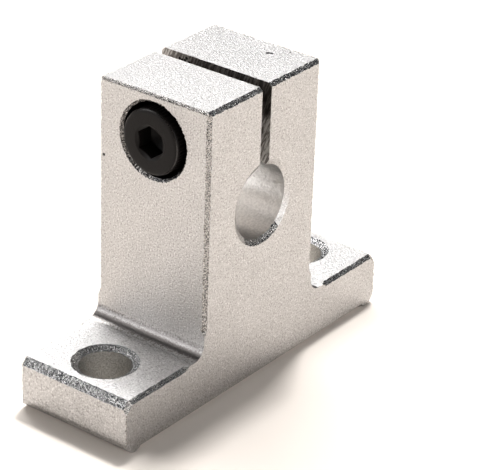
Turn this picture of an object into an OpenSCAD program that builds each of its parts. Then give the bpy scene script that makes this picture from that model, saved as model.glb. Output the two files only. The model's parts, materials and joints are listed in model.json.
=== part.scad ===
// Shaft support block: an upright clamp for a round shaft.
// Two solids: the block, sawn and drilled from one T-shaped bar, and the cap screw that closes its slot.
// Millimetres. X runs along the base, Y along the shaft, Z up from the mounting face.

/* [Block] */
// Length of the base along X
base_w = 42; // [41:0.5:60]
// Thickness of the two feet
base_h = 6; // [5:0.5:10]
// Width of the tower that holds the shaft
tower_w = 18; // [16:0.5:20]
// Height from the mounting face to the top of the tower
block_h = 32.8; // [32:0.1:40]
// Thickness along the shaft
block_t = 14; // [11:0.5:20]

/* [Shaft bore] */
// Diameter of the shaft bore
bore_d = 8; // [6:0.5:9.5]
// Height of the shaft axis above the mounting face
shaft_h = 20; // [16:0.5:21]
// How much wider the bore's mouth is on the radius
bore_flare = 0.6; // [0.2:0.1:0.8]
// Width of the sawn clamping slot
slot_w = 1.5; // [1:0.1:2.5]

/* [Mounting holes] */
// Distance between the two mounting holes
hole_spacing = 32; // [30:0.5:33]
// Diameter of the mounting holes
hole_d = 5.5; // [4.5:0.1:5.8]
// How much wider a mounting hole's mouth is on the radius
hole_flare = 0.75; // [0.2:0.05:0.8]

/* [Clamp screw] */
// Nominal diameter of the screw's thread
screw_d = 4; // [3:0.5:4.5]
// Length of the screw under its head
screw_l = 12; // [10:1:14]
// Diameter of the screw's head
head_d = 7; // [6:0.1:7.4]
// Height of the screw's head
head_h = 4; // [3:0.1:5]
// How far the tightened head stands out of the tower's side
head_proud = 0.5; // [0:0.1:1]
// Width across the flats of the hex socket
socket_w = 3; // [2:0.5:3]
// Depth of the hex socket's flats
socket_depth = 2; // [1:0.1:2.2]
// Distance of the screw's axis below the top of the tower
screw_drop = 5; // [4.8:0.1:5.2]
// Turn of the tightened screw: angle of a socket corner from the shaft's direction
screw_turn = 25; // [0:5:60]

/* [Edges] */
// Broken edge all along the sawn faces
edge_chamfer = 0.4; // [0.2:0.05:0.6]
// Distance from an inner corner at which the broken edge has run out
edge_stop = 2.2; // [2:0.2:3]
// Chamfer along the top edge of each base end
end_chamfer = 0.75; // [0.4:0.05:1]
// Radius along the bottom edge of each base end
end_round = 1.5; // [0.5:0.25:2]
// Radius along the two top edges of the tower
top_round = 0.3; // [0.2:0.05:0.5]
// Radius in the corners between tower and feet
corner_fillet = 1.5; // [0.5:0.25:1.75]

/* [Fits] */
// Gap all round between the head and its recess
head_gap = 0.5; // [0.3:0.05:0.6]
// Gap all round between the screw and the plain hole in the left jaw
shank_gap = 0.25; // [0.1:0.05:0.3]
// Gap all round between the thread cylinders of the screw and the right jaw
thread_gap = 0.04; // [0.02:0.01:0.08]
// Gap under the head
seat_gap = 0.02; // [0.01:0.01:0.1]

/* [Hidden] */
$fn = 96;
overcut = 1;                                     // a cutter starts this far outside what it cuts
drill_half_angle = 60;                           // half the point angle of the drills that flare the mouths
base_end = base_w / 2;
tower_side = tower_w / 2;
front = block_t / 2;
screw_z = block_h - screw_drop;
recess_r = head_d / 2 + head_gap;
recess_depth = head_h - head_proud;
recess_chamfer = 0.3;
seat_x = -tower_side + recess_depth;             // floor of the head's recess
plain_r = screw_d / 2 + shank_gap;
tapped_r = screw_d / 2 + thread_gap;
tapped_chamfer = 0.4;
head_chamfer = 0.4;
neck_fillet = 0.2;                               // cone under the head, inside the plain hole
tip_chamfer = 0.5;
socket_mouth = 0.15;                             // countersink around the socket, beyond its corners
socket_corner = socket_w / sqrt(3);              // radius through the socket's corners
bevel_depth = edge_chamfer / sqrt(2);            // from the sharp edge to the broken one
edge_fade = 0.7;                                 // length over which a broken edge runs out
skim = 0.02;                                     // a run-out ends this far above the sharp edge

// Depth of a mouth that a pointed drill has made wider by flare.
function flare_depth(flare) = flare / tan(drill_half_angle);

// A cylinder that lies along +X.
module along_x(r, l) {
    rotate([0, 90, 0]) cylinder(r = r, h = l);
}

// A cone that lies along +X, from radius r1 to radius r2.
module cone_x(r1, r2, l) {
    rotate([0, 90, 0]) cylinder(r1 = r1, r2 = r2, h = l);
}

// Everything on the +X side, and the same on the -X side.
module both_sides() {
    children();
    mirror([1, 0, 0]) children();
}

// Everything on the sawn front face, and the same on the back face.
module both_faces() {
    children();
    mirror([0, 1, 0]) children();
}

// The part of a square corner that a radius leaves over. The corner is at the origin and opens
// towards +X and +Y.
module corner_spandrel(r) {
    difference() {
        square(r);
        translate([r, r]) circle(r);
    }
}

// The bar's section: the T with its fillets, drawn with X across and Y up.
module bar_section() {
    difference() {
        union() {
            translate([-base_end, 0]) square([base_w, base_h]);
            translate([-tower_side, 0]) square([tower_w, block_h]);
            both_sides() translate([tower_side, base_h]) corner_spandrel(corner_fillet);
        }
        both_sides() {
            translate([base_end, base_h])
                polygon([[-end_chamfer, 0], [0, -end_chamfer], [overcut, 0], [overcut, overcut], [0, overcut]]);
            translate([base_end, 0]) mirror([1, 0]) corner_spandrel(end_round);
            translate([tower_side, block_h]) rotate(180) corner_spandrel(top_round);
        }
    }
}

// Breaks one straight edge of the front face. The edge runs from p to q, both [x, z], with the
// outside on its left. A fade above 0 lets that end run out over its length; 0 cuts on past the end.
module broken_edge(p, q, fade_p = 0, fade_q = 0) {
    step = q - p;
    edge_l = norm(step);
    from_p = fade_p > 0 ? [-fade_p, skim] : [-edge_chamfer, -bevel_depth];
    to_q = fade_q > 0 ? [edge_l + fade_q, skim] : [edge_l + edge_chamfer, -bevel_depth];
    translate([p[0], -front, p[1]])
        rotate([0, -atan2(step[1], step[0]), 0])
            rotate([45, 0, 0])
                rotate([90, 0, 0])
                    linear_extrude(height = 4 * bevel_depth, center = true)
                        polygon([from_p, [0, -bevel_depth], [edge_l, -bevel_depth], to_q,
                                 [to_q[0], overcut], [from_p[0], overcut]]);
}

// The broken edges of the front face. They run out before the inner corners, where a deburring
// wheel doesn't reach, and the upright edges of the base ends are left as sawn.
module broken_edges() {
    foot_stop = tower_side + edge_stop + edge_fade;
    side_stop = base_h + edge_stop + edge_fade;
    bottom_stop = base_end - end_round - edge_fade;
    broken_edge([-tower_side, block_h], [tower_side, block_h]);
    broken_edge([bottom_stop, 0], [-bottom_stop, 0], edge_fade, edge_fade);
    both_sides() {
        broken_edge([-base_end, base_h - end_chamfer], [end_chamfer - base_end, base_h]);
        broken_edge([end_chamfer - base_end, base_h], [-foot_stop, base_h], 0, edge_fade);
        broken_edge([-tower_side, side_stop], [-tower_side, block_h], edge_fade, 0);
    }
}

// The bore, with its mouth flared at both faces.
module shaft_bore() {
    bore_r = bore_d / 2;
    depth = flare_depth(bore_flare);
    translate([0, 0, shaft_h]) {
        rotate([90, 0, 0]) cylinder(r = bore_r, h = block_t + 2 * overcut, center = true);
        both_faces() translate([0, -front, 0]) rotate([-90, 0, 0]) {
            cylinder(r1 = bore_r + bore_flare, r2 = bore_r, h = depth);
            translate([0, 0, -overcut]) cylinder(r = bore_r + bore_flare, h = overcut);
        }
    }
}

// The saw cut from the bore out through the top.
module clamp_slot() {
    translate([-slot_w / 2, -front - overcut, shaft_h])
        cube([slot_w, block_t + 2 * overcut, block_h - shaft_h + overcut]);
}

// One mounting hole through a foot, flared at the top.
module mounting_hole() {
    hole_r = hole_d / 2;
    depth = flare_depth(hole_flare);
    translate([0, 0, -overcut]) cylinder(r = hole_r, h = base_h + 2 * overcut);
    translate([0, 0, base_h - depth]) cylinder(r1 = hole_r, r2 = hole_r + hole_flare, h = depth);
    translate([0, 0, base_h]) cylinder(r = hole_r + hole_flare, h = overcut);
}

// The cross hole: head recess and plain hole in the left jaw, tapped hole through the right jaw.
module screw_hole() {
    translate([0, 0, screw_z]) {
        translate([-tower_side - overcut, 0, 0]) along_x(recess_r, recess_depth + overcut);
        translate([-tower_side, 0, 0]) cone_x(recess_r + recess_chamfer, recess_r, recess_chamfer);
        translate([seat_x - overcut, 0, 0]) along_x(plain_r, overcut - seat_x);
        along_x(tapped_r, tower_side + overcut);
        translate([tower_side - tapped_chamfer, 0, 0])
            cone_x(tapped_r, tapped_r + tapped_chamfer, tapped_chamfer);
    }
}

// The block: one piece of aluminium bar, sawn to thickness, drilled, slotted and deburred.
module support_block() {
    color([0.84, 0.83, 0.82]) difference() {
        rotate([90, 0, 0]) linear_extrude(height = block_t, center = true) bar_section();
        both_faces() broken_edges();
        shaft_bore();
        clamp_slot();
        both_sides() translate([hole_spacing / 2, 0, 0]) mounting_hole();
        screw_hole();
    }
}

// The screw's turned outline, [radius, height above the seat], with the head upwards.
function screw_outline() = let (head_r = head_d / 2, shank_r = screw_d / 2) [
    [0, -screw_l],
    [shank_r - tip_chamfer, -screw_l],
    [shank_r, tip_chamfer - screw_l],
    [shank_r, -neck_fillet],
    [shank_r + neck_fillet, 0],
    [head_r, 0],
    [head_r, head_h - head_chamfer],
    [head_r - head_chamfer, head_h],
    [0, head_h]
];

// The hex socket, from the head's face down, with a drilled bottom and a countersunk mouth.
module hex_socket() {
    drill_r = socket_w / 2;
    mouth_r = socket_corner + socket_mouth;
    translate([0, 0, head_h - socket_depth]) {
        cylinder(r = socket_corner, h = socket_depth + overcut, $fn = 6);
        translate([0, 0, -flare_depth(drill_r)]) cylinder(r1 = 0, r2 = drill_r, h = flare_depth(drill_r));
    }
    translate([0, 0, head_h - flare_depth(mouth_r - drill_r)])
        cylinder(r1 = drill_r, r2 = mouth_r, h = flare_depth(mouth_r - drill_r));
}

// The hex socket cap screw. Its thread is a plain cylinder at the nominal diameter.
module clamp_screw() {
    color([0.1, 0.1, 0.11])
        translate([seat_x - seat_gap, 0, screw_z])
            rotate([0, -90, 0])
                difference() {
                    rotate_extrude() polygon(screw_outline());
                    rotate(90 - screw_turn) hex_socket();
                }
}

support_block();
clamp_screw();
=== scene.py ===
"""Looks of the shaft support block: ragged deburred edges, finishes, screw thread, studio and camera.

Metres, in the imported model's own frame: X along the base, Y along the shaft, Z up.
"""
import json
import logging
import math
import random
from dataclasses import dataclass, field
from enum import Enum
from functools import partial
from typing import Callable, Iterable

import bmesh
import bpy
from mathutils import Matrix, Vector, noise


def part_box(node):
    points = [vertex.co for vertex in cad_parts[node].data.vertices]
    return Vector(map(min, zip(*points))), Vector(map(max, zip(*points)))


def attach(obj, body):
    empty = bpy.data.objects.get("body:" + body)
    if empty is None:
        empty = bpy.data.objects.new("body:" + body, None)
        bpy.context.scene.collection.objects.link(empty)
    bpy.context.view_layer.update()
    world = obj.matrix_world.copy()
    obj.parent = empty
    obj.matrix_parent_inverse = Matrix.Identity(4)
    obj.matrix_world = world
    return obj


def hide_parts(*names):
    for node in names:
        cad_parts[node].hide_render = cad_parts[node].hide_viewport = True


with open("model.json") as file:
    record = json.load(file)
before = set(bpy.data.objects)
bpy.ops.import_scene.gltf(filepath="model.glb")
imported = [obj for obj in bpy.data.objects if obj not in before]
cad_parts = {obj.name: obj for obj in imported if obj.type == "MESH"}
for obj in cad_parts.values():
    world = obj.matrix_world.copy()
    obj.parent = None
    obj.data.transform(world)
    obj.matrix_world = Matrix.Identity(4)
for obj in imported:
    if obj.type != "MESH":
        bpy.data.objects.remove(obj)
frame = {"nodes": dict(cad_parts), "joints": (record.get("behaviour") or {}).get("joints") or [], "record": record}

MM = 0.001
WELD = 0.001 * MM  # points nearer than this are one
ON_PLANE = WELD / 10  # points nearer than this to a cutting plane lie on it
SQUARE = 0.999  # a normal with this much along an axis is square to the other two
ALONG = 0.1  # a hole's wall has less than this of its normal along the hole
CLOSE = 0.05 * MM  # a face this near a level lies on it
DRILL_DEG = 60.0  # half the point angle of a drill
LOG = logging.getLogger("shaft_support_block")

BMesh, Vert, Edge, Face = bmesh.types.BMesh, bmesh.types.BMVert, bmesh.types.BMEdge, bmesh.types.BMFace
Material, Object, Tree, Node = bpy.types.Material, bpy.types.Object, bpy.types.NodeTree, bpy.types.Node
Output = bpy.types.NodeSocket
Source = Node | Output  # a node stands for its first output in use
Span = tuple[float, float]


# ---------------- small helpers

def colour(sheen: str) -> tuple[float, float, float, float]:
    """Turns an sRGB hex value into a linear colour.

    Args:
        sheen: six hex digits, such as "D8D0CA".

    Returns:
        Linear red, green and blue, and an alpha of 1.
    """
    parts = (int(sheen[i:i + 2], 16) / 255 for i in (0, 2, 4))
    linear = [c / 12.92 if c <= 0.04045 else ((c + 0.055) / 1.055) ** 2.4 for c in parts]
    return (linear[0], linear[1], linear[2], 1.0)


def per_metre(size_mm: float) -> float:
    """Scale of a texture whose features are size_mm across, on coordinates in metres."""
    return 1 / (size_mm * MM)


def output(source: Source) -> Output:
    """The output itself, or a node's first output in use."""
    return source if isinstance(source, Output) else next(out for out in source.outputs if out.enabled)


def add_node(tree: Tree, kind: str, values: dict | None = None, links: dict | None = None,
             **settings: object) -> Node:
    """Adds one shader node with its settings, its own values and what feeds it.

    Args:
        tree: the node tree to add to.
        kind: the node's type after "ShaderNode", such as "Math".
        values: socket name or number to value.
        links: socket name or number to the source that feeds it.
        settings: attributes of the node.

    Returns:
        The new node.
    """
    node = tree.nodes.new("ShaderNode" + kind)
    for name, value in settings.items():
        setattr(node, name, value)
    for socket, value in (values or {}).items():
        node.inputs[socket].default_value = value
    for socket, source in (links or {}).items():
        tree.links.new(output(source), node.inputs[socket])
    return node


def finish_mesh(mesh: BMesh, name: str, materials: list[Material], crease_deg: float = 28,
                faceted: tuple[int, ...] = ()) -> Object:
    """Makes an object of a bmesh, smooth except between materials and at steep edges.

    Args:
        mesh: the shape, which is freed here.
        name: the new object's name.
        materials: its material slots, in order.
        crease_deg: the angle above which an edge stays sharp.
        faceted: the material slots whose faces stay flat, if any.

    Returns:
        The object, linked to the scene, at the origin.
    """
    for face in mesh.faces:
        face.smooth = face.material_index not in faceted
        face.normal_update()
    for edge in mesh.edges:
        same = len({face.material_index for face in edge.link_faces}) == 1
        edge.smooth = same and edge.calc_face_angle(0.0) < math.radians(crease_deg)
    data = bpy.data.meshes.new(name)
    mesh.to_mesh(data)
    mesh.free()
    for material in materials:
        data.materials.append(material)
    made = bpy.data.objects.new(name, data)
    bpy.context.scene.collection.objects.link(made)
    return made


# ---------------- finishes

@dataclass(frozen=True)
class PitShade:
    """A small dark spot of painted shade, standing for a pit in the metal."""

    place_mm: tuple[float, float, float]
    radius_mm: float
    core: float = 0.6  # the part of its radius that is fully dark
    shade: str = "1E1C1B"


class Skin:
    """A material in the making: its node tree, its shader and the place on the piece."""

    def __init__(self, name: str, roughness: float, metallic: float = 1.0) -> None:
        """Starts a material.

        Args:
            name: the finish's name.
            roughness: how wide its highlights are.
            metallic: 1 for bare metal, 0 for what hides it.
        """
        self.material = bpy.data.materials.new(name)
        self.material.use_nodes = True
        self.tree = self.material.node_tree
        self.shader = self.tree.nodes["Principled BSDF"]
        self.shader.inputs["Metallic"].default_value = metallic
        self.shader.inputs["Roughness"].default_value = roughness
        self.add = partial(add_node, self.tree)
        self.place = self.add("TexCoord").outputs["Object"]

    def lay(self, under: Source | str, over: str, pattern: Source, levels: Span = (0, 1),
            most: float = 1.0) -> Node:
        """Lays one colour over another where a pattern goes from one level to another.

        Args:
            under: the lower colour, or what gives it.
            over: the upper colour.
            pattern: what gives the pattern.
            levels: the pattern's levels where none and where most of the upper colour shows.
            most: how much of it shows there.

        Returns:
            What gives the new colour.
        """
        share = self.add("MapRange", {"From Min": levels[0], "From Max": levels[1], "To Max": most},
                         {"Value": pattern})
        made = self.add("Mix", {"B": colour(over)}, {"Factor": share}, data_type="RGBA")
        if isinstance(under, str):
            made.inputs["A"].default_value = colour(under)
        else:
            self.tree.links.new(output(under), made.inputs["A"])
        return made

    def mark(self, tint: Source, pit_shades: Iterable[PitShade]) -> Source:
        """Paints the shade of each pit into a colour.

        Args:
            tint: what gives the colour.
            pit_shades: what to draw.

        Returns:
            What gives the marked colour.
        """
        for spot in pit_shades:
            radius = spot.radius_mm * MM
            gap = self.add("VectorMath", {1: [v * MM for v in spot.place_mm]}, {0: self.place},
                           operation="DISTANCE")
            tint = self.lay(tint, spot.shade, gap, (radius, radius * spot.core))
        return tint

    def close(self, tint: Source, relief: Source, depth_mm: float, wear: Source | None = None,
              spread: float = 0.0) -> Material:
        """Feeds the shader with what varies over the surface.

        Args:
            tint: what gives the colour.
            relief: what gives the height of the relief.
            depth_mm: how deep the relief is.
            wear: what the roughness varies with, if it does.
            spread: how far it wanders either way.

        Returns:
            The finished material.
        """
        bump = self.add("Bump", {"Distance": depth_mm * MM}, {"Height": relief})
        feeds = {"Base Color": tint, "Normal": bump}
        if wear is not None:
            middle = self.shader.inputs["Roughness"].default_value
            feeds["Roughness"] = self.add("MapRange", {"To Min": middle - spread, "To Max": middle + spread},
                                          {"Value": wear})
        for socket, source in feeds.items():
            self.tree.links.new(output(source), self.shader.inputs[socket])
        return self.material


@dataclass(frozen=True)
class BlastedAluminium:
    """Extruded aluminium bar, blasted with fine grit.

    The eye sees a matt pale grey that softly mirrors the room, with a fine sparkling grain.
    """

    name: str = "blasted_aluminium"
    light: str = "C2C0BF"
    dark: str = "B6B4B3"
    crater: str = "8C8987"
    crater_levels: Span = (0.46, 0.32)  # noise levels over which a crater deepens
    glint: str = "DCDAD9"
    glint_levels: Span = (0.56, 0.68)  # the same for a glint
    roughness: float = 0.30
    gloss_spread: float = 0.05  # how far the roughness wanders either way
    grain_mm: float = 0.17  # real grit dents are about 0.05 mm; drawn coarser, so that they show
    grain_depth_mm: float = 0.08
    patch_mm: float = 3.0
    # Painted shade of a few small pits.
    pit_shades: tuple[PitShade, ...] = (
        PitShade((6.55, -2.08, 32.8), 0.30), PitShade((6.72, -2.40, 32.8), 0.25),
        PitShade((8.15, -3.66, 32.8), 0.15), PitShade((-9.0, 6.3, 24.4), 0.20))

    def build(self) -> Material:
        """Makes the material.

        Returns:
            The material.
        """
        skin = Skin(self.name, self.roughness)
        grain = skin.add("TexNoise", {"Scale": per_metre(self.grain_mm), "Detail": 2.0, "Roughness": 0.6},
                         {"Vector": skin.place})
        patch = skin.add("TexNoise", {"Scale": per_metre(self.patch_mm), "Detail": 3.0},
                         {"Vector": skin.place})
        tint = skin.lay(self.light, self.dark, patch)
        tint = skin.lay(tint, self.crater, grain, self.crater_levels)
        tint = skin.lay(tint, self.glint, grain, self.glint_levels)
        tint = skin.mark(tint, self.pit_shades)
        return skin.close(tint, grain, self.grain_depth_mm, patch, self.gloss_spread)


@dataclass(frozen=True)
class CutMetal:
    """Bare aluminium in two mingled tones, as a tool left it, some with painted shade. The kinds follow below."""

    name: str
    dark: str
    light: str
    levels: Span  # noise levels over which dark turns light
    roughness: float
    grain_mm: float
    depth_mm: float
    detail: float = 4.0
    jagged: float = 0.5  # how broken up the grains are

    def build(self) -> Material:
        """Makes the material.

        Returns:
            The material.
        """
        skin = Skin(self.name, self.roughness)
        grain = skin.add("TexNoise", {"Scale": per_metre(self.grain_mm), "Detail": self.detail,
                                      "Roughness": self.jagged}, {"Vector": skin.place})
        return skin.close(skin.lay(self.dark, self.light, grain, self.levels), grain, self.depth_mm)


# Most edges, broken by a coarse abrasive wheel. The eye sees a torn band with glittering flecks, its dark tone
# painted shade.
DEBURRED = CutMetal("deburred_aluminium_edge", "2B2D31", "C0BFBE", (0.47, 0.55), 0.24, 0.12, 0.06, 3.0, 0.7)
# Upright edges and the recess's rim, hardly touched. The eye sees light metal with a few dark nicks.
EASED = CutMetal("eased_aluminium_edge", "3C3B3A", "C2BFBC", (0.44, 0.52), 0.24, 0.12, 0.06, 3.0, 0.7)
# The shaft's bore. The eye sees bright clean metal, smoother than the blasted faces, faintly mottled.
REAMED = CutMetal("reamed_aluminium", "DAD8D6", "EEECEA", (0.65, 0.35), 0.31, 0.24, 0.035)
# Mounting, plain and tapped holes. The eye sees duller, finely speckled metal.
DRILLED = CutMetal("drilled_aluminium", "C8C7C4", "FBFAF8", (0.65, 0.35), 0.30, 0.16, 0.05)
# The head's recess, with painted shade over bare metal beside the black head. The eye sees nearly black metal.
RECESS_SHADE = CutMetal("recess_painted_shade", "1C1A19", "3A3836", (0.65, 0.35), 0.45, 0.16, 0.05)


@dataclass(frozen=True)
class SawnWall:
    """Walls of the slot, left by a slitting saw.

    The eye sees grey metal with slanting tooth marks and painted shade towards the top, lighter towards the back
    end.
    """

    name: str = "sawn_aluminium"
    light: str = "E6E3E0"
    dark: str = "8A8682"
    levels: Span = (0.44, 0.58)  # noise levels over which dark turns light
    painted_shade: str = "8C8885"  # the painted shade tinted into the metal above the heights given next
    painted_shade_mm: Span = (28.6, 29.4)  # heights over which the tint sets in
    fade_mm: Span = (3.0, 5.0)  # places along the shaft over which it fades
    end_tint: float = 0.4  # what is left of the painted shade at the back end
    roughness: float = 0.55
    mark_mm: float = 0.22  # tooth marks are about 0.1 mm apart; drawn coarser, so that they show
    mark_length: float = 6.0  # how many times longer than wide a mark is
    mark_depth_mm: float = 0.03
    slant_deg: float = 113.0  # from the shaft's direction, turning upwards
    pit_shades: tuple[PitShade, ...] = (  # painted shadow of a ring-shaped nick in the right wall
        PitShade((0.75, 4.66, 32.14), 0.20), PitShade((0.75, 4.36, 32.04), 0.22),
        PitShade((0.75, 4.00, 32.08), 0.24), PitShade((0.75, 3.80, 32.40), 0.22),
        PitShade((0.75, 3.45, 32.02), 0.18))

    def build(self) -> Material:
        """Makes the material.

        Returns:
            The material.
        """
        skin = Skin(self.name, self.roughness)
        slant = (math.radians(self.slant_deg), 0, 0)
        turned = skin.add("Mapping", {"Rotation": slant, "Scale": (1, self.mark_length, 1)},
                          {"Vector": skin.place}, vector_type="TEXTURE")
        marks = skin.add("TexNoise", {"Scale": per_metre(self.mark_mm), "Detail": 3.0, "Roughness": 0.6},
                         {"Vector": turned})
        tint = skin.lay(self.dark, self.light, marks, self.levels)
        # Painted shade high in the slot, lessening towards its open back end.
        axes = skin.add("SeparateXYZ", links={"Vector": skin.place}).outputs
        upper = skin.add("MapRange", {"From Min": self.painted_shade_mm[0] * MM, "From Max": self.painted_shade_mm[1] * MM},
                         {"Value": axes["Z"]})
        near = skin.add("MapRange", {"From Min": self.fade_mm[0] * MM, "From Max": self.fade_mm[1] * MM,
                                     "To Min": 1.0, "To Max": self.end_tint}, {"Value": axes["Y"]})
        share = skin.add("Math", links={0: upper, 1: near}, operation="MULTIPLY")
        tint = skin.add("Mix", {"B": colour(self.painted_shade)}, {"Factor": share, "A": tint}, data_type="RGBA",
                        blend_type="MULTIPLY")
        return skin.close(skin.mark(tint, self.pit_shades), marks, self.mark_depth_mm)


@dataclass(frozen=True)
class DrawnCorner:
    """Inner corner of the bar, with painted shade and a painted highlight in its colour.

    The eye sees a dark smooth band of painted shade with a thin painted highlight line above it, ragged at the
    borders.
    """

    name: str = "extruded_corner_painted_shade"
    shade_and_highlight_heights: tuple[tuple[float, str], ...] = (  # parts of the fillet's height, with their colours: painted shade and a painted highlight line
        (0.00, "B6B4B3"), (0.02, "989592"), (0.06, "7A7674"), (0.36, "64605E"), (0.38, "807E7D"),
        (0.46, "7C7A79"), (0.50, "625F5E"), (0.62, "787574"), (0.80, "A09E9D"), (0.98, "B6B4B3"))
    fleck: str = "3C3A38"
    fleck_levels: Span = (0.44, 0.30)  # noise levels over which a fleck darkens
    fleck_most: float = 0.6  # how much of the fleck's colour shows at most
    roughness: float = 0.28
    grain_mm: float = 0.17
    ragged: float = 0.34  # how far the borders wander, as a part of the fillet's height
    depth_mm: float = 0.03
    fillet_mm: Span = (6.0, 7.5)  # heights between which the fillet lies

    def build(self) -> Material:
        """Makes the material.

        Returns:
            The material.
        """
        skin = Skin(self.name, self.roughness)
        grain = skin.add("TexNoise", {"Scale": per_metre(self.grain_mm), "Detail": 2.0, "Roughness": 0.6},
                         {"Vector": skin.place})
        axes = skin.add("SeparateXYZ", links={"Vector": skin.place}).outputs
        part = skin.add("MapRange", {"From Min": self.fillet_mm[0] * MM, "From Max": self.fillet_mm[1] * MM},
                        {"Value": axes["Z"]})
        wander = skin.add("MapRange", {"To Min": -self.ragged, "To Max": self.ragged}, {"Value": grain})
        level = skin.add("Math", links={0: part, 1: wander}, operation="ADD")
        # Painted shade and a painted highlight line, banded up the fillet's height.
        bands = skin.add("ValToRGB", links={"Fac": level})
        stops = bands.color_ramp.elements
        stops.remove(stops[-1])
        for number, (part_way, tone) in enumerate(self.shade_and_highlight_heights):
            stop = stops.new(part_way) if number else stops[0]
            stop.position, stop.color = part_way, colour(tone)
        tint = skin.lay(bands, self.fleck, grain, self.fleck_levels, self.fleck_most)
        return skin.close(tint, grain, self.depth_mm)


@dataclass(frozen=True)
class BlackOxideSteel:
    """Alloy steel with an oiled black oxide skin. The two kinds follow below."""

    name: str
    light: str
    dark: str
    roughness: float
    specular: float
    gloss_spread: float = 0.1  # how far the roughness wanders either way
    scale_mm: float = 0.16
    scale_depth_mm: float = 0.02

    def build(self) -> Material:
        """Makes the material.

        Returns:
            The material.
        """
        skin = Skin(self.name, self.roughness, metallic=0.0)
        skin.shader.inputs["Specular IOR Level"].default_value = self.specular
        scale = skin.add("TexNoise", {"Scale": per_metre(self.scale_mm), "Detail": 3.0},
                         {"Vector": skin.place})
        tint = skin.lay(self.dark, self.light, scale)
        return skin.close(tint, scale, self.scale_depth_mm, scale, self.gloss_spread)


# The screw's skin. The eye sees near black, with a dull satin sheen.
OXIDE_SKIN = BlackOxideSteel("black_oxide_steel", "1A1716", "0E0C0C", 0.42, 0.12)
# The head's rounded rim, rubbed smooth by handling. The eye sees thin grey arcs that catch the light.
RUBBED_RIM = BlackOxideSteel("rubbed_black_oxide", "221F1D", "141110", 0.26, 0.5)


@dataclass(frozen=True)
class PaperSweep:
    """Matt paper under the part. The eye sees plain cream white."""

    name: str = "white_paper"
    tint: str = "FCF3EA"

    def build(self) -> Material:
        """Makes the material.

        Returns:
            The material.
        """
        material = bpy.data.materials.new(self.name)
        material.use_nodes = True
        shader = material.node_tree.nodes["Principled BSDF"]
        shader.inputs["Base Color"].default_value = colour(self.tint)
        shader.inputs["Roughness"].default_value = 1.0
        shader.inputs["Specular IOR Level"].default_value = 0.0
        return material


# ---------------- the block

class Process(Enum):
    """How a surface of the block was made, or the painted shade it bears. The value is its material slot."""

    BLASTED = 0
    DEBURRED = 1
    REAMED = 2
    DRILLED = 3
    SAWN = 4
    DRAWN = 5
    EASED = 6
    RECESS_SHADE = 7


TORN = (Process.DEBURRED.value, Process.EASED.value)


@dataclass(frozen=True)
class MetricThread:
    """Sixty-degree thread, made by winding its zigzag outline once round a helix."""

    depth: float
    pitch: float = 0.7 * MM
    outer_flat: float = 0.0875 * MM
    flank_deg: float = 30.0  # half the thread's angle
    spare_turns: float = 1.3  # wound below the lower end, and cut off
    steps: int = 60

    def wind(self, mesh: BMesh, outer_r: float, low: float, high: float) -> tuple[list[Edge], list[Edge]]:
        """Makes the thread about the local Z axis and cuts it off square at both ends.

        Args:
            mesh: an empty bmesh.
            outer_r: radius of the thread's outside.
            low: height of its lower end.
            high: height of its upper end.

        Returns:
            The edges of the lower rim and those of the upper rim.
        """
        run = self.depth * math.tan(math.radians(self.flank_deg))
        outline = ((0.0, outer_r), (self.outer_flat, outer_r), (self.outer_flat + run, outer_r - self.depth),
                   (self.pitch - run, outer_r - self.depth))
        turns = math.ceil((high - low) / self.pitch + 2)
        start = low - self.spare_turns * self.pitch
        chain = [mesh.verts.new((radius, 0, start + turn * self.pitch + rise))
                 for turn in range(turns) for rise, radius in outline]
        links = [mesh.edges.new(pair) for pair in zip(chain, chain[1:])]
        bmesh.ops.spin(mesh, geom=chain + links, cent=(0, 0, 0), axis=(0, 0, 1), angle=2 * math.pi,
                       dvec=(0, 0, self.pitch / self.steps), steps=self.steps, use_merge=False)
        # A whole turn has climbed one pitch, so the last outline lies on the first and is merged with it.
        bmesh.ops.remove_doubles(mesh, verts=mesh.verts, dist=WELD)
        for height, way in ((low, -1), (high, 1)):
            bmesh.ops.bisect_plane(mesh, geom=mesh.verts[:] + mesh.edges[:] + mesh.faces[:], dist=ON_PLANE,
                                   plane_co=(0, 0, height), plane_no=(0, 0, way), clear_outer=True)
        open_edges = [edge for edge in mesh.edges if len(edge.link_faces) == 1]
        middle = (low + high) / 2
        return ([edge for edge in open_edges if edge.verts[0].co.z < middle],
                [edge for edge in open_edges if edge.verts[0].co.z > middle])


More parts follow.
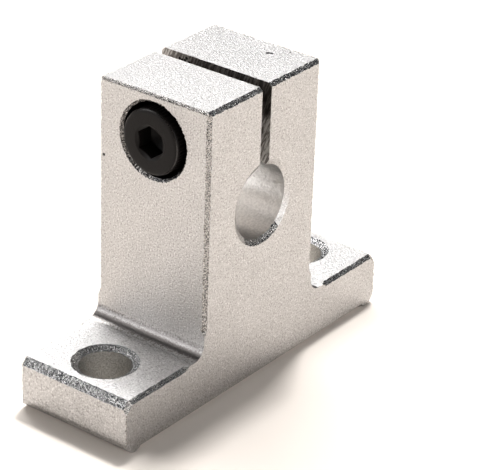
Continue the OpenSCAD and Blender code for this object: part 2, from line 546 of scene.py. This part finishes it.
@dataclass
class SupportBlock:
    """The block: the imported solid's surface, with each face given its process and its edges torn."""

    node: str = "support_block"
    body: str = "block"
    tower_side: float = 9.0 * MM  # from the middle to the tower's side
    foot_top: float = 6.0 * MM
    slot_half: float = 0.8 * MM  # a little more than half the slot's width
    recess_r: float = 4.0 * MM
    recess_lip: float = 0.35 * MM  # the recess's wall begins this far in, past its chamfer
    rim_depth: float = 0.5 * MM  # the chamfers of the cross hole are no deeper than this
    rim_reach: float = 0.9 * MM  # a mouth's flare or chamfer is inside this much more radius
    bevel_lean: Span = (0.6, 0.8)  # a broken edge's normal has this much along the shaft
    upright_lean: float = 0.3  # an upright edge's has more than this along the base
    slope_lean: float = 0.05  # a face along the bar slopes if its normal has more both ways
    flare_dark_deg: float = -52.0  # the bore's flare gets the dark deburred finish below this, from the shaft's height
    lit_side_way: Span = (0.6, 0.8)  # outer back side of a mounting hole, left free of the flare's painted shade
    lit_side_reach: float = 0.85  # cosine of the angle to either side where its flare is left free of it
    edge_zone: float = 1.0 * MM  # a chamfer at the top or the ends is inside this
    corner_zone: Span = (-1.0 * MM, 3.0 * MM)  # the inner corner, from the tower's side
    corner_drawn_deg: Span = (5.0, 89.0)
    one_face_deg: float = 0.4  # facets that turn by less are one face
    tear_step: float = 0.15 * MM
    tear_spread: Span = (0.75, 1.25)
    tear_reach: float = 0.07 * MM
    swell_mm: float = 0.9  # length of the slow waves in a ragged border
    swell_part: float = 0.8  # their height, as a part of tear_reach
    straight_deg: float = 140.0  # a border that turns more sharply than this has a corner
    corner_calm: float = 0.35 * MM  # near a corner the borders are torn less, so that they never cross
    facet_reach: float = 0.034 * MM
    narrow_strip: float = 0.35 * MM  # a strip at least this wide gets tear_rows lengthwise cuts
    tear_rows: int = 2
    wide_strip: float = 0.8 * MM  # and one wider than this gets chamfer_rows
    chamfer_rows: int = 5
    back_break: float = 0.4 * MM  # bevel on the upright edges of the base ends, at the back
    front_break: float = 0.08 * MM  # the same at the front, hardly touched
    tapped_r: float = 2.04 * MM
    tapped_start: float = 6.55 * MM
    tapped_end: float = 8.6 * MM
    thread_depth: float = 0.38 * MM
    lead_in: float = 0.04 * MM  # between the thread's ends and the plain wall
    seed: int = 8

    def __post_init__(self) -> None:
        """Reads the places of the block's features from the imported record."""
        mounts = {mount["name"]: mount for mount in frame["record"]["mounts"]}
        bore, holes = mounts["shaft_bore"], mounts["base_bolts"]["dims"]
        self.low, self.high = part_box(self.node)
        self.bore_z = bore["pos_m"][2]
        self.bore_r = bore["dims"]["r_mm"] * MM
        self.hole_x = holes["spacing_x_mm"] * MM / 2
        self.hole_r = holes["hole_r_mm"] * MM
        self.seat_x, _, self.screw_z = frame["joints"][0]["pos_m"]

    def process_of(self, centre: Vector, normal: Vector) -> Process:
        """Says how a face was made.

        Args:
            centre: the middle of the face.
            normal: the way it faces.

        Returns:
            Its process.
        """
        from_bore = math.hypot(centre.x, centre.z - self.bore_z)
        from_hole = math.hypot(abs(centre.x) - self.hole_x, centre.y)
        from_screw = math.hypot(centre.y, centre.z - self.screw_z)
        levels = (self.low.z, self.foot_top, self.high.z)
        if abs(normal.y) > SQUARE and abs(centre.y) > self.high.y - CLOSE:
            return Process.BLASTED
        if abs(normal.z) > SQUARE and min(abs(centre.z - level) for level in levels) < CLOSE:
            return Process.BLASTED
        if from_bore < self.bore_r + self.rim_reach:
            return Process.REAMED if abs(normal.y) < ALONG else self._flare_process(centre)
        if from_hole < self.hole_r + self.rim_reach and centre.z < self.foot_top + self.rim_reach:
            return Process.DRILLED if abs(normal.z) < ALONG else self._mouth_process(centre)
        if abs(centre.x) < self.slot_half:
            return Process.SAWN
        in_recess = self.recess_lip - self.tower_side < centre.x < self.seat_x + CLOSE
        # The head's recess gets painted shade.
        if from_screw < self.recess_r + 2 * CLOSE and in_recess:
            return Process.RECESS_SHADE
        if from_screw < self.recess_r + self.rim_reach / 2 and abs(normal.x) < SQUARE:
            rim = abs(centre.x) > self.tower_side - self.rim_depth and abs(normal.x) > ALONG
            return self._rim_process(centre) if rim else Process.DRILLED
        if self.bevel_lean[0] < abs(normal.y) < self.bevel_lean[1]:
            return Process.EASED if abs(normal.x) > self.upright_lean else Process.DEBURRED
        if min(abs(normal.x), abs(normal.z)) > self.slope_lean:
            return self._corner_process(centre, normal)
        return Process.BLASTED

    def _flare_process(self, centre: Vector) -> Process:
        """Says which finish the bore's flare gets: the dark deburred one at its bottom, and the blasted one
        elsewhere.
        """
        turn = math.degrees(math.atan2(centre.z - self.bore_z, abs(centre.x)))
        return Process.DEBURRED if turn < self.flare_dark_deg else Process.BLASTED

    def _mouth_process(self, centre: Vector) -> Process:
        """Says which finish a mounting hole's flare gets: the dark deburred one as painted shade, except at its
        outer back side, which keeps the lighter eased one.
        """
        outward = Vector((abs(centre.x) - self.hole_x, centre.y)).normalized()
        return Process.EASED if outward.dot(Vector(self.lit_side_way)) > self.lit_side_reach else Process.DEBURRED

    def _rim_process(self, centre: Vector) -> Process:
        """Says how the recess's rim was broken: torn at its lower front, and hardly touched elsewhere."""
        torn = centre.y < 0 and centre.z < self.screw_z - self.recess_r / 3
        return Process.DEBURRED if torn else Process.EASED

    def _corner_process(self, centre: Vector, normal: Vector) -> Process:
        """Says how a sloping face along the bar was made: a chamfer, or a corner left by the die.

        Args:
            centre: the middle of the face.
            normal: the way it faces.

        Returns:
            Its process.
        """
        if centre.z > self.high.z - self.edge_zone:
            return Process.EASED
        if abs(centre.x) > self.high.x - self.edge_zone and centre.z > self.foot_top / 2:
            return Process.DEBURRED
        in_corner = self.corner_zone[0] < abs(centre.x) - self.tower_side < self.corner_zone[1]
        slope = math.degrees(math.atan2(normal.z, abs(normal.x)))
        drawn = in_corner and self.corner_drawn_deg[0] < slope < self.corner_drawn_deg[1]
        return Process.DRAWN if drawn else Process.BLASTED

    def sort_faces(self, mesh: BMesh) -> None:
        """Puts every face of the block's mesh in the material slot of its process."""
        for face in mesh.faces:
            face.normal_update()
            face.material_index = self.process_of(face.calc_center_median(), face.normal).value

    def break_uprights(self, mesh: BMesh) -> None:
        """Planes a bevel on the four upright edges of the base ends, before the faces are sorted.

        Args:
            mesh: the block.
        """
        for side in (-1, 1):
            for face_way, size in ((1, self.back_break), (-1, self.front_break)):
                corner = Vector((side * self.high.x, face_way * self.high.y, 0))
                way = Vector((side, face_way, 0)).normalized()
                cut = bmesh.ops.bisect_plane(
                    mesh, geom=mesh.verts[:] + mesh.edges[:] + mesh.faces[:], dist=ON_PLANE,
                    plane_co=corner - way * size / math.sqrt(2), plane_no=way, clear_outer=True)
                rim = [item for item in cut["geom_cut"] if isinstance(item, Edge)]
                bmesh.ops.contextual_create(mesh, geom=rim)

    @staticmethod
    def _bisect(mesh: BMesh, faces: list[Face], axis: int, place: float) -> list[Face]:
        """Cuts some of the faces across one axis.

        Args:
            mesh: the block.
            faces: what to cut.
            axis: 0, 1 or 2 for X, Y or Z.
            place: where on the axis.

        Returns:
            The faces on both sides of the cut.
        """
        normal = Vector((0, 0, 0))
        normal[axis] = 1
        parts = set(faces)
        for face in faces:
            parts.update(face.edges)
            parts.update(face.verts)
        cut = bmesh.ops.bisect_plane(mesh, geom=list(parts), dist=ON_PLANE, plane_co=normal * place,
                                     plane_no=normal)
        return [item for item in cut["geom"] if isinstance(item, Face)]

    def _in_tapped_wall(self, face: Face) -> bool:
        """Says whether a face lies in the tapped hole's wall."""
        first = face.verts[0].co
        on_wall = abs(math.hypot(first.y, first.z - self.screw_z) - self.tapped_r) < CLOSE / 5
        return on_wall and abs(face.normal.x) < ALONG / 10 and face.calc_center_median().x > self.slot_half

    def tap_hole(self, mesh: BMesh) -> None:
        """Cuts the thread into the open end of the tapped hole, beyond the screw's tip.

        Args:
            mesh: the block.
        """
        wall = [face for face in mesh.faces if self._in_tapped_wall(face)]
        fresh = self._bisect(mesh, wall, 0, self.tapped_start)
        wall = [face for face in set(wall) | set(fresh) if face.is_valid
                and face.calc_center_median().x > self.tapped_start]
        bmesh.ops.delete(mesh, geom=wall, context="FACES")
        thread = bmesh.new()
        MetricThread(depth=self.thread_depth).wind(thread, self.tapped_r, self.tapped_start + self.lead_in,
                                                   self.tapped_end - self.lead_in)
        along_x = Matrix.Translation((0, 0, self.screw_z)) @ Matrix.Rotation(math.pi / 2, 4, "Y")
        bmesh.ops.transform(thread, matrix=along_x, verts=thread.verts)
        carrier = bpy.data.meshes.new("thread_carrier")
        thread.to_mesh(carrier)
        thread.free()
        known = set(mesh.faces)
        mesh.from_mesh(carrier)
        bpy.data.meshes.remove(carrier)
        loose = [edge for edge in mesh.edges if len(edge.link_faces) == 1]
        middle = (self.tapped_start + self.tapped_end) / 2
        for near in (True, False):
            pair = [edge for edge in loose if (edge.verts[0].co.x < middle) == near]
            bmesh.ops.bridge_loops(mesh, edges=pair)
        for face in mesh.faces:
            if face not in known:
                face.material_index = Process.DRILLED.value
        mesh.normal_update()
        bmesh.ops.recalc_face_normals(mesh, faces=mesh.faces)

    def add_rows(self, mesh: BMesh) -> None:
        """Divides the torn strips lengthwise, so that their inside can be rough as well.

        Args:
            mesh: the block.
        """
        wide, narrow = [], []
        for edge in mesh.edges:
            if len(edge.link_faces) != 2 or edge.calc_length() < self.narrow_strip:
                continue
            if any(face.material_index in TORN for face in edge.link_faces):
                (wide if edge.calc_length() > self.wide_strip else narrow).append(edge)
        for edges, rows in ((wide, self.chamfer_rows), (narrow, self.tear_rows)):
            across = [edge for edge in edges if all(face.material_index in TORN for face in edge.link_faces)]
            bmesh.ops.subdivide_edges(mesh, edges=across, cuts=rows, use_grid_fill=True)

    @staticmethod
    def _borders(vert: Vert) -> list[Edge]:
        """Edges at a vertex that part torn faces from untorn ones."""
        return [edge for edge in vert.link_edges
                if {face.material_index in TORN for face in edge.link_faces} == {True, False}]

    def _is_corner(self, vert: Vert) -> bool:
        """Says whether the border of the torn faces turns sharply or branches at a vertex."""
        arms = [edge.other_vert(vert).co - vert.co for edge in self._borders(vert)]
        if len(arms) == 2:
            return arms[0].angle(arms[1], math.pi) < math.radians(self.straight_deg)
        return len(arms) > 2

    def tear_edges(self, mesh: BMesh) -> None:
        """Cuts the broken edges into short lengths and makes their borders ragged.

        Args:
            mesh: the block.
        """
        for axis in range(3):
            self._cut_strips(mesh, axis)
        self.add_rows(mesh)
        chance = random.Random(self.seed)
        corners = [vert.co.copy() for vert in mesh.verts if self._is_corner(vert)]
        moves = []
        for vert in mesh.verts:
            torn = [face for face in vert.link_faces if face.material_index in TORN]
            others = [face for face in vert.link_faces if face.material_index not in TORN]
            if not torn:
                continue
            if not others:
                lean = sum((face.normal for face in torn), Vector()).normalized()
                moves.append((vert, lean * chance.uniform(-1, 1) * self.facet_reach))
                continue
            first = others[0].normal
            borders = self._borders(vert)
            if len(borders) != 2 or any(first.dot(face.normal) < SQUARE for face in others):
                continue
            along = borders[0].other_vert(vert).co - borders[1].other_vert(vert).co
            across = first.cross(along).normalized()
            swell = noise.noise(vert.co * per_metre(self.swell_mm)) * self.swell_part
            room = min((vert.co - corner).length for corner in corners) / self.corner_calm
            moves.append((vert, across * (chance.uniform(-1, 1) + swell) * self.tear_reach * min(room, 1)))
        for vert, move in moves:
            for axis in range(3):
                vert.co[axis] = min(max(vert.co[axis] + move[axis], self.low[axis]), self.high[axis])

    def _cut_strips(self, mesh: BMesh, axis: int) -> None:
        """Cuts the torn strips that run along one axis across, every tear_step or so.

        Args:
            mesh: the block.
            axis: 0, 1 or 2 for X, Y or Z.
        """
        chosen = []
        for face in mesh.faces:
            if face.material_index not in TORN:
                continue
            spread = [max(v.co[i] for v in face.verts) - min(v.co[i] for v in face.verts) for i in range(3)]
            if spread[axis] == max(spread) and spread[axis] > 2 * self.tear_step:
                chosen.append(face)
        if not chosen:
            return
        chance = random.Random(self.seed + axis)
        place = min(v.co[axis] for face in chosen for v in face.verts) + self.tear_step
        stop = max(v.co[axis] for face in chosen for v in face.verts)
        while place < stop:
            near = [face for face in chosen
                    if min(v.co[axis] for v in face.verts) < place < max(v.co[axis] for v in face.verts)]
            if near:
                fresh = self._bisect(mesh, near, axis, place)
                chosen = list(dict.fromkeys([face for face in chosen if face.is_valid] + fresh))
            place += self.tear_step * chance.uniform(*self.tear_spread)

    def build(self, materials: list[Material]) -> Object:
        """Makes the dressed block.

        Args:
            materials: one for each Process, in order.

        Returns:
            The block's object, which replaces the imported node.
        """
        mesh = bmesh.new()
        mesh.from_mesh(frame["nodes"][self.node].data)
        bmesh.ops.remove_doubles(mesh, verts=mesh.verts, dist=WELD)
        bmesh.ops.dissolve_limit(mesh, angle_limit=math.radians(self.one_face_deg), verts=mesh.verts,
                                 edges=mesh.edges)
        self.break_uprights(mesh)
        self.sort_faces(mesh)
        self.tear_edges(mesh)
        self.tap_hole(mesh)
        made = finish_mesh(mesh, "dressed_block", materials, faceted=TORN)
        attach(made, self.body)
        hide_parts(self.node)
        return made


# ---------------- the screw

@dataclass
class Turning:
    """A turned shape, pulled ring by ring from one circle, about the local Z axis."""

    steps: int
    mesh: BMesh
    edges: list = field(default_factory=list)

    def start(self, radius: float, height: float) -> None:
        """Makes the first ring, with a cap on it."""
        made = bmesh.ops.create_circle(self.mesh, cap_ends=True, radius=radius, segments=self.steps,
                                       matrix=Matrix.Translation((0, 0, height)))
        self.edges = list({edge for vert in made["verts"] for edge in vert.link_edges})

    def pull(self, place: Callable[[float], Span], slot: int = 0) -> None:
        """Extrudes the last ring and moves each new vertex.

        Args:
            place: gives radius and height, in metres, for an angle in radians.
            slot: material slot of the new band.
        """
        made = bmesh.ops.extrude_edge_only(self.mesh, edges=self.edges)["geom"]
        fresh = {item for item in made if isinstance(item, Vert)}
        self.edges = [item for item in made if isinstance(item, Edge)
                      and item.verts[0] in fresh and item.verts[1] in fresh]
        for item in made:
            if isinstance(item, Face):
                item.material_index = slot
        for vert in fresh:
            angle = math.atan2(vert.co.y, vert.co.x)
            radius, height = place(angle)
            vert.co = (radius * math.cos(angle), radius * math.sin(angle), height)

    def ring(self, radius: float, height: float, slot: int = 0) -> None:
        """Extrudes the last ring to a round one, with its new band in a material slot."""
        self.pull(lambda _: (radius, height), slot)


@dataclass
class ClampScrew:
    """Hex socket cap screw with a knurled head and a rolled metric thread."""

    node: str = "clamp_screw"
    body: str = "screw"
    thread_r: float = 2.0 * MM
    thread_depth: float = 0.43 * MM
    thread_ease: float = 0.02 * MM  # the thread's outside is this much inside its nominal radius
    tip_chamfer: float = 0.5 * MM
    neck: float = 0.9 * MM
    neck_r: float = 1.75 * MM
    neck_ends: Span = (-0.3 * MM, 0.1 * MM)  # from the seat, and from the thread's upper end
    neck_cone: float = 0.2 * MM  # cone under the head
    head_h: float = 4.0 * MM
    head_chamfer: float = 0.4 * MM  # radius of the head's rounded rim
    rim_steps: int = 5
    rubbed_step: int = 3
    rim_land: float = 0.05 * MM  # flat just inside the rim
    knurls: int = 60
    knurl_depth: float = 0.09 * MM
    knurl_top: float = 0.1 * MM  # from the rounded rim down to the knurls
    knurl_low: float = 0.35 * MM  # height at which the knurls end
    plain_low: float = 0.25 * MM  # height at which they have run out
    seat_bevel: float = 0.15 * MM
    socket_w: float = 3.0 * MM
    socket_depth: float = 2.0 * MM
    socket_turn_deg: float = 65.0
    socket_mouth: float = 0.15 * MM  # countersink beyond the socket's corners
    mouth_land: float = 0.04 * MM  # flat just outside it
    drill_part: float = 0.98  # the drilled bottom's radius, as a part of half the socket's width
    drill_tip: float = 0.05 * MM  # radius of the flat at its point
    steps: int = 240

    def __post_init__(self) -> None:
        """Reads the screw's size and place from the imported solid."""
        self.low, self.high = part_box(self.node)
        self.head_r = (self.high.z - self.low.z) / 2
        self.axis_z = (self.high.z + self.low.z) / 2
        self.length = self.high.x - self.low.x - self.head_h
        self.seat_x = self.low.x + self.head_h

    def hex_radius(self, angle: float) -> float:
        """Radius of the socket's wall at an angle."""
        sixth = math.pi / 3
        local = (angle - math.radians(self.socket_turn_deg)) % sixth - sixth / 2
        return self.socket_w / 2 / math.cos(local)

    def knurl(self, angle: float, height: float) -> Span:
        """Radius of the knurled side at an angle, and the height."""
        wave = 0.5 - 0.5 * math.cos(angle * self.knurls)
        return self.head_r - self.knurl_depth * wave, height

    def head(self, mesh: BMesh) -> Turning:
        """Turns the head, from the socket's drilled bottom out and down to the neck.

        Args:
            mesh: the bmesh that holds the thread.

        Returns:
            The turned shape, which goes on from its last ring.
        """
        half = self.socket_w / 2
        mouth = self.socket_w / math.sqrt(3) + self.socket_mouth
        top = self.head_h
        rim = self.head_r - self.head_chamfer
        slope = math.tan(math.radians(DRILL_DEG))
        floor = top - self.socket_depth
        shape = Turning(self.steps, mesh)
        shape.start(self.drill_tip, floor - (half - self.drill_tip) / slope)
        shape.ring(half * self.drill_part, floor)
        shape.pull(lambda a: (self.hex_radius(a), floor))
        shape.pull(lambda a: (self.hex_radius(a), top - (mouth - self.hex_radius(a)) / slope))
        shape.ring(mouth, top)
        shape.ring(mouth + self.mouth_land, top)
        shape.ring(rim - self.rim_land, top)
        for step in range(1, self.rim_steps + 1):
            turn = math.radians(90 * step / self.rim_steps)
            # The last step ends halfway down the knurls that follow.
            sunk = self.knurl_depth / 2 if step == self.rim_steps else 0
            shape.ring(rim + self.head_chamfer * math.sin(turn) - sunk,
                       top - self.head_chamfer * (1 - math.cos(turn)), slot=int(step == self.rubbed_step))
        shape.pull(lambda a: self.knurl(a, top - self.head_chamfer - self.knurl_top))
        shape.pull(lambda a: self.knurl(a, self.knurl_low))
        shape.ring(self.head_r - self.knurl_depth, self.plain_low)
        shape.ring(self.head_r - self.seat_bevel, 0.0)
        shape.ring(self.thread_r + self.neck_cone, 0.0)
        shape.ring(self.thread_r - self.thread_ease, -self.neck_cone)
        return shape

    def thread(self, mesh: BMesh) -> list[Edge]:
        """Winds the thread from the tip to the neck, and caps the tip.

        Args:
            mesh: an empty bmesh.

        Returns:
            The edges of the thread's upper rim.
        """
        tip, top = MetricThread(depth=self.thread_depth).wind(mesh, self.thread_r - self.thread_ease,
                                                              -self.length, -self.neck)
        for vert in mesh.verts:
            most = self.thread_r - self.tip_chamfer + vert.co.z + self.length
            radius = math.hypot(vert.co.x, vert.co.y)
            if radius > most:
                vert.co.x *= most / radius
                vert.co.y *= most / radius
        bmesh.ops.contextual_create(mesh, geom=tip)
        return top

    def build(self, materials: list[Material]) -> Object:
        """Makes the screw.

        Args:
            materials: that of the skin and that of the head's rim.

        Returns:
            The screw's object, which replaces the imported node.
        """
        mesh = bmesh.new()
        upper = self.thread(mesh)
        shape = self.head(mesh)
        shape.ring(self.neck_r, self.neck_ends[0])
        shape.ring(self.neck_r, self.neck_ends[1] - self.neck)
        bmesh.ops.bridge_loops(mesh, edges=upper + shape.edges)
        bmesh.ops.recalc_face_normals(mesh, faces=mesh.faces)
        turned = Matrix.Translation((self.seat_x, 0, self.axis_z)) @ Matrix.Rotation(-math.pi / 2, 4, "Y")
        bmesh.ops.transform(mesh, matrix=turned, verts=mesh.verts)
        made = finish_mesh(mesh, "dressed_screw", materials)
        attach(made, self.body)
        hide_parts(self.node)
        return made


# ---------------- studio

@dataclass(frozen=True)
class Panel:
    """A round glowing panel on the studio's walls. Azimuths run from +Y towards +X.

    A card is a small panel that shows in the metal but is too weak to lighten the paper.
    """

    azimuth: float
    elevation: float
    inner_deg: float
    outer_deg: float
    glow: float
    card: bool = False


@dataclass
class Studio:
    """White paper floor, a lamp above and behind, glowing panels round about, and the camera."""

    floor_size: float = 4.0
    middle: Vector = field(default_factory=lambda: Vector((0, 0, 16 * MM)))  # what lamp and camera face
    key_power: float = 5.0
    key_size: float = 0.10
    key_azimuth: float = 70.0
    key_elevation: float = 70.0
    key_distance: float = 0.8
    camera_azimuth: float = -126.99
    camera_elevation: float = 27.35
    camera_roll_deg: float = 1.90
    camera_distance: float = 245.94 * MM
    camera_slide: Span = (3.33 * MM, -1.81 * MM)  # to the camera's right, and up
    sensor_mm: float = 36.0
    lens_mm: float = 179.685
    clip_start: float = 0.01
    roof_glow: float = 0.03
    backdrop: str = "F6F1EB"  # what shows behind the part beyond the paper's end
    panels: tuple[Panel, ...] = (
        Panel(45, 52, 8, 20, 7.2), Panel(20, 42, 6, 14, 7.0), Panel(135, 52, 8, 20, 1.4),
        Panel(-36, 30, 10, 26, 0.6), Panel(-36, 30, 10, 26, 1.6, card=True),
        Panel(-75, 8, 10, 26, 1.0, card=True), Panel(-53, 22, 8, 20, 3.4, card=True),
        Panel(175, 9, 8, 20, 5.4, card=True), Panel(-163, 32, 8, 20, 1.6, card=True))

    @staticmethod
    def way(azimuth: float, elevation: float) -> Vector:
        """Direction of an azimuth and an elevation, both in degrees."""
        turn, rise = math.radians(azimuth), math.radians(elevation)
        return Vector((math.sin(turn) * math.cos(rise), math.cos(turn) * math.cos(rise), math.sin(rise)))

    def floor(self) -> None:
        """Lays the paper."""
        mesh = bmesh.new()
        bmesh.ops.create_grid(mesh, x_segments=2, y_segments=2, size=self.floor_size / 2)
        finish_mesh(mesh, "paper_floor", [PaperSweep().build()])

    def lamp(self) -> None:
        """Hangs the square softbox."""
        data = bpy.data.lights.new("key", "AREA")
        data.shape = "SQUARE"
        data.size = self.key_size
        data.energy = self.key_power
        made = bpy.data.objects.new("key", data)
        back = self.way(self.key_azimuth, self.key_elevation) * self.key_distance
        made.location = self.middle + back
        made.rotation_euler = (-back).to_track_quat("-Z", "Y").to_euler()
        bpy.context.scene.collection.objects.link(made)

    def walls(self) -> None:
        """Surrounds the part with the glowing panels."""
        world = bpy.data.worlds.new("studio")
        world.use_nodes = True
        bpy.context.scene.world = world
        tree = world.node_tree
        add = partial(add_node, tree)
        way = add("TexCoord").outputs["Generated"]
        ray = add("LightPath").outputs
        off_paper = add("Math", {0: 1.0}, {1: ray["Is Diffuse Ray"]}, operation="SUBTRACT")
        total = None
        for panel in self.panels:
            facing = add("VectorMath", {1: self.way(panel.azimuth, panel.elevation)}, {0: way},
                         operation="DOT_PRODUCT")
            feeds = {"Value": facing}
            if panel.card:
                feeds["To Max"] = add("Math", {0: panel.glow}, {1: off_paper}, operation="MULTIPLY")
            rim, heart = math.cos(math.radians(panel.outer_deg)), math.cos(math.radians(panel.inner_deg))
            disc = add("MapRange", {"From Min": rim, "From Max": heart, "To Max": panel.glow}, feeds,
                       interpolation_type="SMOOTHSTEP")
            # The first sum starts from the roof's glow.
            terms = {1: disc} if total is None else {0: total, 1: disc}
            total = add("Math", {0: self.roof_glow}, terms, operation="ADD")
        shown = add("Mix", {"B": colour(self.backdrop)}, {"Factor": ray["Is Camera Ray"], "A": total},
                    data_type="RGBA")
        tree.links.new(output(shown), tree.nodes["Background"].inputs["Color"])

    def camera(self) -> None:
        """Sets up the camera."""
        back = self.way(self.camera_azimuth, self.camera_elevation)
        level = (-back).cross(Vector((0, 0, 1))).normalized()
        roll = Matrix.Rotation(math.radians(self.camera_roll_deg), 3, back)
        right, up = roll @ level, roll @ level.cross(-back)
        slide, lift = self.camera_slide
        place = self.middle + slide * right + lift * up + self.camera_distance * back
        data = bpy.data.cameras.new("camera")
        data.sensor_width = self.sensor_mm
        data.lens = self.lens_mm
        data.clip_start = self.clip_start
        made = bpy.data.objects.new("camera", data)
        made.matrix_world = Matrix.Translation(place) @ Matrix((right, up, back)).transposed().to_4x4()
        bpy.context.scene.collection.objects.link(made)
        bpy.context.scene.camera = made

    def build(self) -> None:
        """Sets up the whole studio."""
        self.camera()
        self.floor()
        self.walls()
        self.lamp()
        bpy.context.scene.view_settings.view_transform = "Standard"


def main() -> None:
    """Builds the studio and dresses the part."""
    logging.basicConfig(level=logging.INFO, format="%(message)s")
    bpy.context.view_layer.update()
    Studio().build()
    finishes = {Process.BLASTED: BlastedAluminium(), Process.DEBURRED: DEBURRED,
                Process.REAMED: REAMED, Process.DRILLED: DRILLED, Process.SAWN: SawnWall(),
                Process.DRAWN: DrawnCorner(), Process.EASED: EASED, Process.RECESS_SHADE: RECESS_SHADE}
    block = SupportBlock().build([finishes[process].build() for process in Process])
    LOG.info("block: %d faces", len(block.data.polygons))
    screw = ClampScrew().build([OXIDE_SKIN.build(), RUBBED_RIM.build()])
    LOG.info("screw: %d faces", len(screw.data.polygons))


if __name__ == "__main__":
    main()
